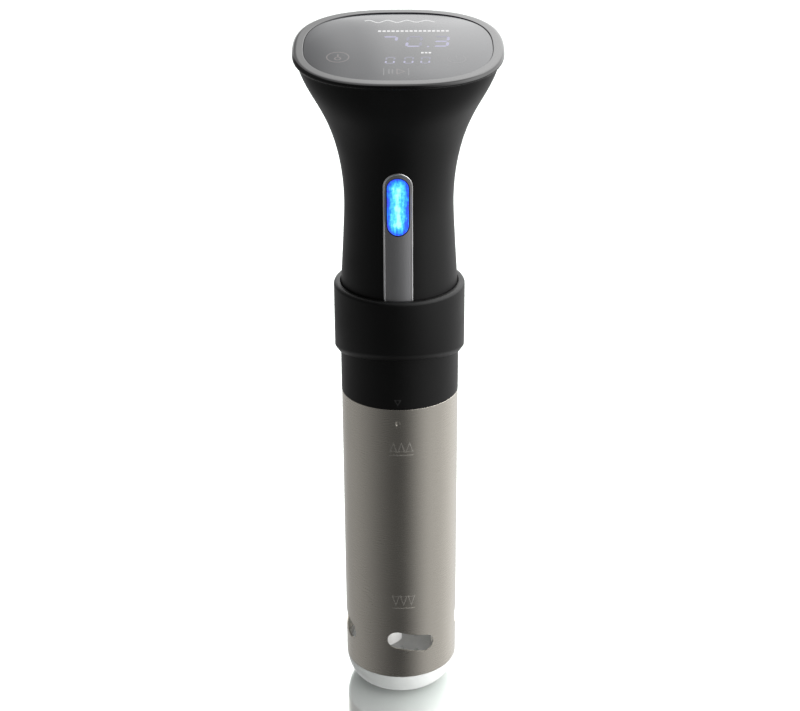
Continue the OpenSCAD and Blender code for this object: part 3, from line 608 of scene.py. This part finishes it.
GLASS_A, GLASS_B, GLASS_LOW, GLASS_TOP = 48.5, 39.5, 0.15, 2.15
glass_profile = [
    (0.2, GLASS_LOW),
    (0.0, GLASS_LOW + 0.2),
    (0.0, GLASS_TOP - 0.3),
    (0.1, GLASS_TOP - 0.09),
    (0.35, GLASS_TOP),
]
glass_rings = [rim_ring(i, h, wide, GLASS_A, GLASS_B) for i, h in glass_profile]
glass = on_head(loft("display_glass", glass_rings, caps=True))
smooth_shade(glass, 40.0)
part_of(glass, "housing", "display_glass", "touch_glass")

# ---------------------------------------------------------------- strip, its edge and the lens


def trim_outline(inset):
    """The strip's outline as (x, z), open at its low end: up the left side, over the top, down the right."""
    r = TRIM_W / 2 - inset
    top = TRIM_TOP - TRIM_W / 2
    left = [(TRIM_X - r, z) for z in np.linspace(TRIM_LOW + 0.3, top, 40, endpoint=False)]
    over = [(TRIM_X - r * math.cos(w), top + r * math.sin(w)) for w in np.linspace(0, math.pi, 28)]
    down = [(TRIM_X + r, z) for z in np.linspace(top, TRIM_LOW + 0.3, 41)[1:]]
    return left + over + down


# the bright edge's section as (inset, height over the handle): a low bead
EDGE_W = 0.9
edge_profile = [(0.0, 0.05), (0.0, 0.24), (0.12, 0.38), (0.32, 0.42)]
edge_profile += [(0.58, 0.40), (0.8, 0.31), (EDGE_W, 0.18), (EDGE_W, 0.05)]
edge_rows = []
paths = [trim_outline(inset) for inset, _ in edge_profile]
for i in range(len(paths[0])):
    edge_rows.append([skin_point(*paths[k][i], off) for k, (_, off) in enumerate(edge_profile)])
trim_edge = loft("strip_edge", edge_rows, caps=True)
smooth_shade(trim_edge, 50.0)
part_of(trim_edge, "housing", "chrome", "trim_frame")

strip_half = TRIM_W / 2 - EDGE_W
strip_top = TRIM_TOP - TRIM_W / 2
led_half, led_dz = LED_W / 2, LED_H / 2 - LED_W / 2
round_rows = [strip_top + strip_half * math.sin(w) for w in np.linspace(0, math.pi / 2, 16)]
hole_low = [LED_Z - led_dz - led_half * math.cos(w) for w in np.linspace(0, math.pi / 2, 12)]
hole_high = [LED_Z + led_dz + led_half * math.sin(w) for w in np.linspace(0, math.pi / 2, 12)]
plain_rows = np.linspace(TRIM_LOW + EDGE_W, LED_Z - LED_H / 2, 30)
rows = sorted({round(float(z), 4) for z in [*plain_rows, *hole_low, *hole_high, *round_rows]})


def strip_half_width(z):
    return strip_half if z <= strip_top else math.sqrt(max(0.0, strip_half**2 - (z - strip_top) ** 2))


def hole_half_width(z):
    dz = max(0.0, abs(z - LED_Z) - led_dz)
    return math.sqrt(led_half**2 - dz**2) if dz < led_half else 0.0


# the strip is a grid of rows with a column band on each side of the window
strip_verts, strip_faces = [], []
COLUMNS = 8
for side in (-1, 1):
    base = len(strip_verts)
    for z in rows:
        outer_x, inner_x = strip_half_width(z), hole_half_width(z)
        inner_x = min(inner_x, outer_x)
        for k in range(COLUMNS + 1):
            x = TRIM_X + side * (outer_x + (inner_x - outer_x) * k / COLUMNS)
            strip_verts.append(Vector(skin_point(x, z, 0.3)) * MM)
    for i in range(len(rows) - 1):
        for k in range(COLUMNS):
            a = base + i * (COLUMNS + 1) + k
            quad = (a, a + 1, a + COLUMNS + 2, a + COLUMNS + 1)
            strip_faces.append(quad if side < 0 else quad[::-1])
strip = mesh_object("front_strip", strip_verts, strip_faces)
tidy = bmesh.new()
tidy.from_mesh(strip.data)
bmesh.ops.remove_doubles(tidy, verts=tidy.verts, dist=1e-6)
bmesh.ops.recalc_face_normals(tidy, faces=tidy.faces)
if sum(f.normal.y for f in tidy.faces) > 0:
    bmesh.ops.reverse_faces(tidy, faces=tidy.faces)
tidy.to_mesh(strip.data)
tidy.free()
thick = strip.modifiers.new("thickness", "SOLIDIFY")
thick.thickness = 0.22 * MM
thick.offset = -1.0
bake_modifiers(strip)
smooth_shade(strip)
part_of(strip, "housing", "satin_metal", "trim_strip")

# the lens as (inset, distance from the handle's axis): its back, a raised lip and a gentle dome
LENS_RINGS = [(5.6, 27.8), (0.55, 27.8), (0.5, 29.7), (0.62, 29.95), (0.9, 30.02), (1.15, 29.9)]
LENS_RINGS += [(1.35, 29.78), (2.2, 29.95), (3.4, 30.08), (4.8, 30.16), (5.9, 30.18)]
lens_rows = []
for inset, radius in LENS_RINGS:
    outline = obround(TRIM_X, LED_Z, LED_W - 2 * inset, LED_H - 2 * inset, 32)
    lens_rows.append([(x, -math.sqrt(radius**2 - x * x), z) for x, z in outline])
lens = loft("light_lens", lens_rows, caps=True)
smooth_shade(lens, 50.0)
part_of(lens, "housing", "blue_lens", "led_lens")

# ---------------------------------------------------------------- sleeve

SLEEVE_R, SLEEVE_IN, SLEEVE_LOW, SLEEVE_TOP = 32.5, 31.7, 15.5, 187.5
sleeve_profile = [
    (SLEEVE_IN, SLEEVE_LOW + 0.15),
    (SLEEVE_IN + 0.2, SLEEVE_LOW),
    (SLEEVE_R - 0.2, SLEEVE_LOW),
    (SLEEVE_R, SLEEVE_LOW + 0.2),
]
sleeve_profile += [(SLEEVE_R, z) for z in np.linspace(SLEEVE_LOW + 6, SLEEVE_TOP - 6, 28)]
sleeve_profile += [(SLEEVE_R, SLEEVE_TOP - 0.2), (SLEEVE_R - 0.2, SLEEVE_TOP), (SLEEVE_IN, SLEEVE_TOP)]
sleeve_profile += [(SLEEVE_IN, z) for z in np.linspace(SLEEVE_TOP - 6, SLEEVE_LOW + 6, 10)]
sleeve = revolve("steel_tube", sleeve_profile, 360)
SLOT_Z, SLOT_W, SLOT_H = 38.8, 27.4, 10.8
SLOT_TURN, slot_lean = 10.5, math.radians(-13.0)
lean_c, lean_s = math.cos(slot_lean), math.sin(slot_lean)
level_slot = obround(0, 0, SLOT_W, SLOT_H, 48)
slot_shape = [(x * lean_c - z * lean_s, SLOT_Z + x * lean_s + z * lean_c) for x, z in level_slot]
for k in range(4):
    cutter = prism("slot_cut", slot_shape, -40, -20)
    cutter.data.transform(Matrix.Rotation(math.radians(SLOT_TURN + 90 * k), 4, "Z"))
    carve(sleeve, cutter)
# the alignment dot is a shallow dish, cut by a ball whose middle is outside the steel
DOT_Z, DOT_BALL, DOT_OUT, dot_turn = 179.2, 3.2, 2.8, math.radians(-92.0)
ball_steps = np.linspace(0.02, math.pi - 0.02, 24)
ball = revolve("dot_cut", [(DOT_BALL * math.sin(w), -DOT_BALL * math.cos(w)) for w in ball_steps], 40)
ball_at = SLEEVE_R + DOT_OUT
dot_place = Vector((ball_at * math.cos(dot_turn), ball_at * math.sin(dot_turn), DOT_Z))
ball.data.transform(Matrix.Translation(dot_place * MM))
carve(sleeve, ball)
smooth_shade(sleeve, 32.0)
part_of(sleeve, "sleeve", "steel_sleeve", "steel_sleeve")

# ---------------------------------------------------------------- flat marks: strokes and filled shapes


def stroke(points, width, closed=False):
    """Quads along a line of (u, v) points, with mitred corners."""
    pts = [Vector(p) for p in points]
    count = len(pts)
    sides = []
    for i in range(count):
        before = pts[i - 1] if (i or closed) else None
        after = pts[(i + 1) % count] if (i < count - 1 or closed) else None
        d1 = (pts[i] - before).normalized() if before is not None else None
        d2 = (after - pts[i]).normalized() if after is not None else None
        d1, d2 = d1 or d2, d2 or d1
        n1, n2 = Vector((-d1.y, d1.x)), Vector((-d2.y, d2.x))
        miter = (n1 + n2).normalized()
        reach = min(2.0, 1.0 / max(0.4, miter.dot(n1))) * width / 2
        sides.append((pts[i] + miter * reach, pts[i] - miter * reach))
    quads = []
    for i in range(count if closed else count - 1):
        (a, b), (c, d) = sides[i], sides[(i + 1) % count]
        quads.append([a, b, d, c])
    return quads


def marks(name, shapes, place_point, low, high):
    """One mesh of flat shapes, each a list of (u, v) points, raised from low to high above a surface."""
    verts, faces = [], []
    for shape in shapes:
        n, base = len(shape), len(verts)
        area = sum(p[0] * q[1] - q[0] * p[1] for p, q in zip(shape, [*shape[1:], shape[0]]))
        ordered = list(shape) if area > 0 else list(reversed(shape))
        for h in (low, high):
            verts += [Vector(place_point(p[0], p[1], h)) * MM for p in ordered]
        faces.append(tuple(range(base + n - 1, base - 1, -1)))
        faces.append(tuple(range(base + n, base + 2 * n)))
        faces += [(base + i, base + (i + 1) % n, base + n + (i + 1) % n, base + n + i) for i in range(n)]
    return mesh_object(name, verts, faces)


def round_line(u0, u1, v, steps):
    return [(u, v) for u in np.linspace(u0, u1, steps)]


def on_cylinder(radius):
    """Places (u, v, h): u millimetres round from the front to the right, v the height, h outwards."""

    def point(u, v, h):
        w = u / radius
        return ((radius + h) * math.sin(w), -(radius + h) * math.cos(w), v)

    return point


def box(u, v, width, height):
    return [(u, v), (u + width, v), (u + width, v + height), (u, v + height)]


def triangle(u, v, width, height):
    """A triangle outline; a negative height points down."""
    return [(u - width / 2, v), (u + width / 2, v), (u, v + height)]


MM_PER_DEGREE = math.pi / 180 * SLEEVE_R
# the two water levels: line, the triangles' base and height (negative points down), and turn in degrees
LEVELS = [(160.1, 162.2, 5.3, 1.2), (62.3, 70.2, -5.8, 2.7)]
level_shapes = []
for line_z, base_z, height, level_turn in LEVELS:
    centre = level_turn * MM_PER_DEGREE
    level_shapes += stroke(round_line(centre - 6.6, centre + 6.6, line_z, 14), 0.55)
    for k in (-1, 0, 1):
        level_shapes += stroke(triangle(centre + 4.5 * k, base_z, 3.7, height), 0.6, closed=True)
level_marks = marks("level_marks", level_shapes, on_cylinder(SLEEVE_R), -0.02, 0.05)
part_of(level_marks, "sleeve", "steel_sleeve")
level_marks.data.materials[0] = finish(
    "etched_steel", (0.74, 0.71, 0.65), 0.42, metallic=1.0, grain=4.0, bump=0.02
)

NECK_R = 32.6
lock_shapes = stroke(triangle(-1.2, 193.2, 3.2, -2.9), 0.5, closed=True)
lock_mark = marks("lock_mark", lock_shapes, on_cylinder(NECK_R), -0.02, 0.04)
part_of(lock_mark, "housing", "matte_black")
lock_mark.data.materials[0] = finish("moulded_mark", (0.02, 0.02, 0.02), 0.3, grain=3.0, bump=0.01)

# ---------------------------------------------------------------- display marks

DIGIT_TILT = 0.09


def seven_segment(u, v, width, height, thick):
    """The seven bars of a digit, top, upper right, lower right, bottom, lower left, upper left, middle."""
    w, h, t = width / 2, height / 2, thick / 2
    gap = 0.12 * thick
    end, near, far = w - t - gap, t + gap, h - t - gap
    flat = [(-end, 0), (t - end, t), (end - t, t), (end, 0), (end - t, -t), (t - end, -t)]
    tall = [(0, near), (t, near + t), (t, far - t), (0, far), (-t, far - t), (-t, near + t)]
    bars = [
        [(x, y + h - t) for x, y in flat],
        [(x + w - t, y) for x, y in tall],
        [(x + w - t, -y) for x, y in tall],
        [(x, y - h + t) for x, y in flat],
        [(x - w + t, -y) for x, y in tall],
        [(x - w + t, y) for x, y in tall],
        [(x, y) for x, y in flat],
    ]
    return [[(u + x + DIGIT_TILT * y, v + y) for x, y in bar] for bar in bars]


def panel_point(u, v, h):
    return tuple(head_frame @ Vector((u * MM, v * MM, (GLASS_TOP + h) * MM)) / MM)


def lamp_and_painted_glow(name, colour, strength, gloss=0.1):
    """A glow seen through the smoked glass: the display's lights, and the white print's painted glow; it
    glows unevenly and keeps the glass's gloss.
    """
    material, tree, surface = shader(name)
    where = place(tree)
    surface.inputs["Base Color"].default_value = (0.006, 0.007, 0.010, 1.0)
    surface.inputs["Roughness"].default_value = gloss
    wave = remap(tree, noise(tree, where, 0.8), 0.3, 0.7, 0.72, 1.1)
    tree.links.new(mix_colour(tree, wave, (0.0, 0.0, 0.0), colour), surface.inputs["Emission Color"])
    surface.inputs["Emission Strength"].default_value = strength
    return material


MARK_LOW, MARK_HIGH = -0.01, 0.012
LAMPS = {
    "digits_bright": ("digit_light", (0.58, 0.54, 1.0), 0.36),
    "digits_dim": ("digit_shade", (0.5, 0.46, 1.0), 0.13),
}
# a digit's size as (width, height, bar thickness)
BIG, SMALL = (8.4, 12.6, 1.5), (5.0, 7.6, 0.95)
# per digit: place, size, and whether each of its seven bars is bright (B), dim (D) or unlit (-)
DIGITS = [
    (-4.5, 4.6, BIG, "BB-----"),
    (8.3, 4.6, BIG, "DDDBBD-"),
    (22.2, 4.6, BIG, "DBBB--B"),
    (-4.0, -16.8, SMALL, "DDBDBD-"),
    (5.4, -16.8, SMALL, "DDBDBD-"),
    (13.8, -16.8, SMALL, "DDBDBD-"),
]
lit = {"digits_bright": [], "digits_dim": []}
for u, v, digit_size, code in DIGITS:
    for bar, level in zip(seven_segment(u, v, *digit_size), code):
        if level != "-":
            lit["digits_bright" if level == "B" else "digits_dim"].append(bar)
lit["digits_bright"].append(circle(15.3, -1.4, 0.7, 12))
for name, shapes in lit.items():
    piece = marks(name, shapes, panel_point, MARK_LOW, MARK_HIGH)
    part_of(piece, "housing", "display_glass")
    piece.data.materials[0] = lamp_and_painted_glow(*LAMPS[name])

# white print, drawn as a painted glow instead of white ink: a water wave at the top, and plain rows of dashes
# where labels sit
print_shapes = []
wave_u = np.linspace(-17.5, 19.5, 110)
wave_line = [(u, 28.8 + 1.5 * math.sin((u + 18) * 0.62) * (1 - 0.35 * (u + 18) / 38)) for u in wave_u]
print_shapes += stroke(wave_line, 0.75)
print_shapes += [box(u, 16.1, 1.65, 1.8) for u in np.arange(-10.4, 27.0, 2.35)]
print_shapes += [box(u, -9.2, 1.3, 1.6) for u in (11.7, 13.6, 15.5)]
print_painted_glow = marks("panel_print", print_shapes, panel_point, MARK_LOW, MARK_HIGH)
part_of(print_painted_glow, "housing", "display_glass")
# painted glow: the print gives off its own light instead of being white ink lit by the studio
print_painted_glow.data.materials[0] = lamp_and_painted_glow("print_painted_glow", (1.0, 1.0, 1.0), 0.62, 0.3)

# faint outlines for the touch keys, in two colours
amber, grey = [], []
amber += stroke(circle(-30.5, -13, 5.6, 40), 0.55, closed=True)
amber += stroke([(-30.5, -9.8), (-30.5, -13.4)], 0.7)
amber += stroke(circle(-30.5, -14.6, 1.5, 16), 0.6, closed=True)
grey += stroke(arc(29.5, -15.5, 4.6, 125, 415, 40), 0.6)
grey += stroke([(29.5, -11.6), (29.5, -15.4)], 0.7)
for u in (-7.2, 5.2):
    grey += stroke([(u, -25.6), (u, -33.4)], 0.5)
for u in (-4.6, -2.9):
    grey += stroke([(u, -26.8), (u, -31.6)], 0.7)
amber += stroke([(-0.6, -26.4), (-0.6, -32.0), (3.2, -29.2)], 0.6, closed=True)
KEYS = [
    ("keys_amber", amber, (1.0, 0.36, 0.16), 0.03),
    ("keys_grey", grey, (0.9, 0.8, 0.75), 0.02),
]
for name, shapes, colour, strength in KEYS:
    piece = marks(name, shapes, panel_point, MARK_LOW, MARK_HIGH)
    part_of(piece, "housing", "display_glass")
    piece.data.materials[0] = lamp_and_painted_glow(name + "_light", colour, strength)

# ---------------------------------------------------------------- clamp collar

COLLAR_R, COLLAR_BORE, COLLAR_LIP = 35.8, 32.75, 32.15
COLLAR_TOP, COLLAR_LOW, COLLAR_ROUND = 251.6, 210.0, 2.0
PIN_Y, PIN_Z, LEVER_HALF = 43.0, 244.0, 15.0
top_slope, low_slope = math.tan(math.radians(1.8)), math.tan(math.radians(-11.5))


def collar_section(w):
    """The band's section at a turn; its top and bottom lean, and the lip makes way for the strip."""
    c, s = math.cos(w), math.sin(w)
    notch = s < 0 and abs(COLLAR_BORE * c - TRIM_X) < TRIM_W / 2 + 0.3
    lip = COLLAR_BORE if notch else COLLAR_LIP
    top = [(COLLAR_R, -COLLAR_ROUND)]
    for a in np.radians([12, 25, 38, 52, 66, 78, 90]):
        top.append((COLLAR_R + COLLAR_ROUND * (math.cos(a) - 1), COLLAR_ROUND * (math.sin(a) - 1)))
    top += [(33.2, 0.0), (lip + 0.3, -0.06), (lip, -0.4), (lip, -1.7), (COLLAR_BORE, -2.3)]
    low = [(COLLAR_BORE, 0.5), (COLLAR_BORE + 0.25, 0.0), (33.1, 0.0), (33.4, 0.12)]
    low += [(35.3, 2.75), (35.7, 3.5), (COLLAR_R, 4.3)]
    section = [(r, COLLAR_TOP + r * s * top_slope + dz) for r, dz in top]
    section += [(r, COLLAR_LOW + r * s * low_slope + dz) for r, dz in low]
    return [(r * c, r * s, z) for r, z in section]


collar = loft("clamp_band", [collar_section(w) for w in full_turn(360)], loop=True)
EAR_Y, EAR_R, EAR_THICK = 29.7, 6.5, 4.0
ear_outline = [(EAR_Y, PIN_Z - EAR_R), *arc(PIN_Y, PIN_Z, EAR_R, -90, 90, 28), (EAR_Y, PIN_Z + EAR_R)]
for side in (-1, 1):
    low, high = sorted((side * (LEVER_HALF + 0.3), side * (LEVER_HALF + 0.3 + EAR_THICK)))
    ear = round_edges(prism("ear", ear_outline, low, high, "X"), 0.5)
    carve(collar, ear, "UNION")
carve(collar, prism("pin_hole", circle(PIN_Y, PIN_Z, 2.05, 40), -30, 30, "X"))
# two screws at the back: a hole for the shank through the wall, and a wider one that sinks the head
SCREW_Z = 222
for turn in (77, 103):
    for hole_r, start in ((1.5, 30), (2.9, 34.3)):
        drill = prism("screw_hole", circle(0, SCREW_Z, hole_r, 32), start, 42, "X")
        drill.data.transform(Matrix.Rotation(math.radians(turn), 4, "Z"))
        carve(collar, drill)
smooth_shade(collar, 38.0)
part_of(collar, "housing", "matte_black", "clamp_collar")

# ---------------------------------------------------------------- clamp lever, its pad and spring

LEVER_Y, LEVER_T, LEVER_TIP = 38.0, 4.2, 158.0
LEVER_TOP, LEVER_LOW, LEVER_CORNER = 278.0, 148.4, 7.0


def tilted_bar(name, y, z, angle, low, high, thick, bevel=0.7):
    """A flat bar in the Y-Z plane, from low to high along a direction leaning by angle."""
    c, s = math.cos(math.radians(angle)), math.sin(math.radians(angle))
    corners = [(thick[0], low), (thick[1], low), (thick[1], high), (thick[0], high)]
    outline = [(y + a * c - b * s, z + a * s + b * c) for a, b in corners]
    return round_edges(prism(name, outline, -LEVER_HALF, LEVER_HALF, "X"), bevel, 4)


lever = tilted_bar("clamp_handle", LEVER_Y, LEVER_TIP, 0, -0.4, PIN_Z - LEVER_TIP, (0, LEVER_T), 0.6)
hub = prism("hub", circle(PIN_Y, PIN_Z, 6.0, 64), -LEVER_HALF, LEVER_HALF, "X")
carve(lever, round_edges(hub, 0.5), "UNION")
carve(lever, tilted_bar("tip", LEVER_Y, LEVER_TIP, -25, -9.0, 0.6, (0, LEVER_T)), "UNION")
carve(lever, tilted_bar("thumb", PIN_Y, PIN_Z, -20, 0, 34, (1.4, LEVER_T + 1.0), 0.9), "UNION")
# seen from behind, the lever has round corners
corner_x = LEVER_HALF - LEVER_CORNER
corner_top, corner_low = LEVER_TOP - LEVER_CORNER, LEVER_LOW + LEVER_CORNER
corners = [(corner_x, corner_top, 0), (-corner_x, corner_top, 90)]
corners += [(-corner_x, corner_low, 180), (corner_x, corner_low, 270)]
rounding = []
for cx, cz, start in corners:
    for a in np.radians(np.linspace(start, start + 90, 12)):
        rounding.append((cx + 1.02 * LEVER_CORNER * math.cos(a), cz + LEVER_CORNER * math.sin(a)))
carve(lever, prism("corners", rounding, 20, 80), "INTERSECT")
gap_outline = [(30, PIN_Z - 7), (PIN_Y + 5.4, PIN_Z - 7), (PIN_Y + 5.4, PIN_Z + 7.5), (30, PIN_Z + 7.5)]
carve(lever, prism("spring_gap", gap_outline, -6.3, 6.3, "X"))
carve(lever, prism("pin_bore", circle(PIN_Y, PIN_Z, 2.06, 40), -30, 30, "X"))
smooth_shade(lever, 40.0)
part_of(lever, "lever", "matte_black", "clamp_lever")

PAD_FACE, PAD_BACK, PAD_LOW, PAD_TOP = 33.2, 38.0, 162.0, 186.0
# a groove as (depth behind the face, height over its start)
GROOVE = [(0.0, 0.0), (0.25, 0.15), (0.9, 0.3), (0.9, 1.1), (0.25, 1.25), (0.0, 1.4)]
pad_steps = [(PAD_FACE, PAD_LOW)]
for k in range(5):
    start = PAD_LOW + 3.2 + 4 * k
    pad_steps += [(PAD_FACE + depth, start + rise) for depth, rise in GROOVE]
pad_steps += [(PAD_FACE, PAD_TOP), (PAD_BACK, PAD_TOP), (PAD_BACK, PAD_LOW)]
pad = round_edges(prism("grip_pad", pad_steps, -11, 11, "X"), 0.35, 3, 50.0)
smooth_shade(pad, 40.0)
part_of(pad, "lever", "silicone_grey", "jaw_pad")


def sweep_tube(name, path, radius, sides):
    """A round wire along a path."""
    pts = np.array(path, float)
    tangents = np.gradient(pts, axis=0)
    tangents /= np.linalg.norm(tangents, axis=1)[:, None]
    normal = np.array([1.0, 0.0, 0.0])
    rings = []
    for p, t in zip(pts, tangents):
        normal = normal - normal.dot(t) * t
        normal /= np.linalg.norm(normal)
        side = np.cross(t, normal)
        spokes = [math.cos(w) * normal + math.sin(w) * side for w in full_turn(sides)]
        rings.append([tuple(p + radius * spoke) for spoke in spokes])
    return loft(name, rings, caps=True)


SPRING_TURNS, SPRING_LEN, SPRING_R = 5.5, 10.0, 3.4
LEG_Y, LEG_RISE = 36.45, 5.5
coil = []
for t in np.linspace(0, SPRING_TURNS, int(SPRING_TURNS * 36) + 1):
    w = 2 * math.pi * t
    x = -SPRING_LEN / 2 + SPRING_LEN * t / SPRING_TURNS
    coil.append((x, PIN_Y - SPRING_R * math.cos(w), PIN_Z - SPRING_R * math.sin(w)))
first_leg = []
for k in np.linspace(0, 0.93, 12):
    y = LEG_Y + (PIN_Y - SPRING_R - LEG_Y) * k
    first_leg.append((-SPRING_LEN / 2, y, PIN_Z + LEG_RISE - LEG_RISE * k))
last_leg = [(SPRING_LEN / 2, PIN_Y + SPRING_R, PIN_Z + 8 * k) for k in np.linspace(0.1, 0.9, 8)]
last_leg += [(SPRING_LEN / 2, PIN_Y + SPRING_R + 2.9 * k, PIN_Z + 8 + 8 * k) for k in np.linspace(0.05, 1, 8)]
spring = sweep_tube("torsion_spring", first_leg + coil + last_leg, 0.6, 12)
smooth_shade(spring, 50.0)
spring.data.materials.append(MATERIALS["bright_steel"])
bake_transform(spring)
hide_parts("clamp_spring")
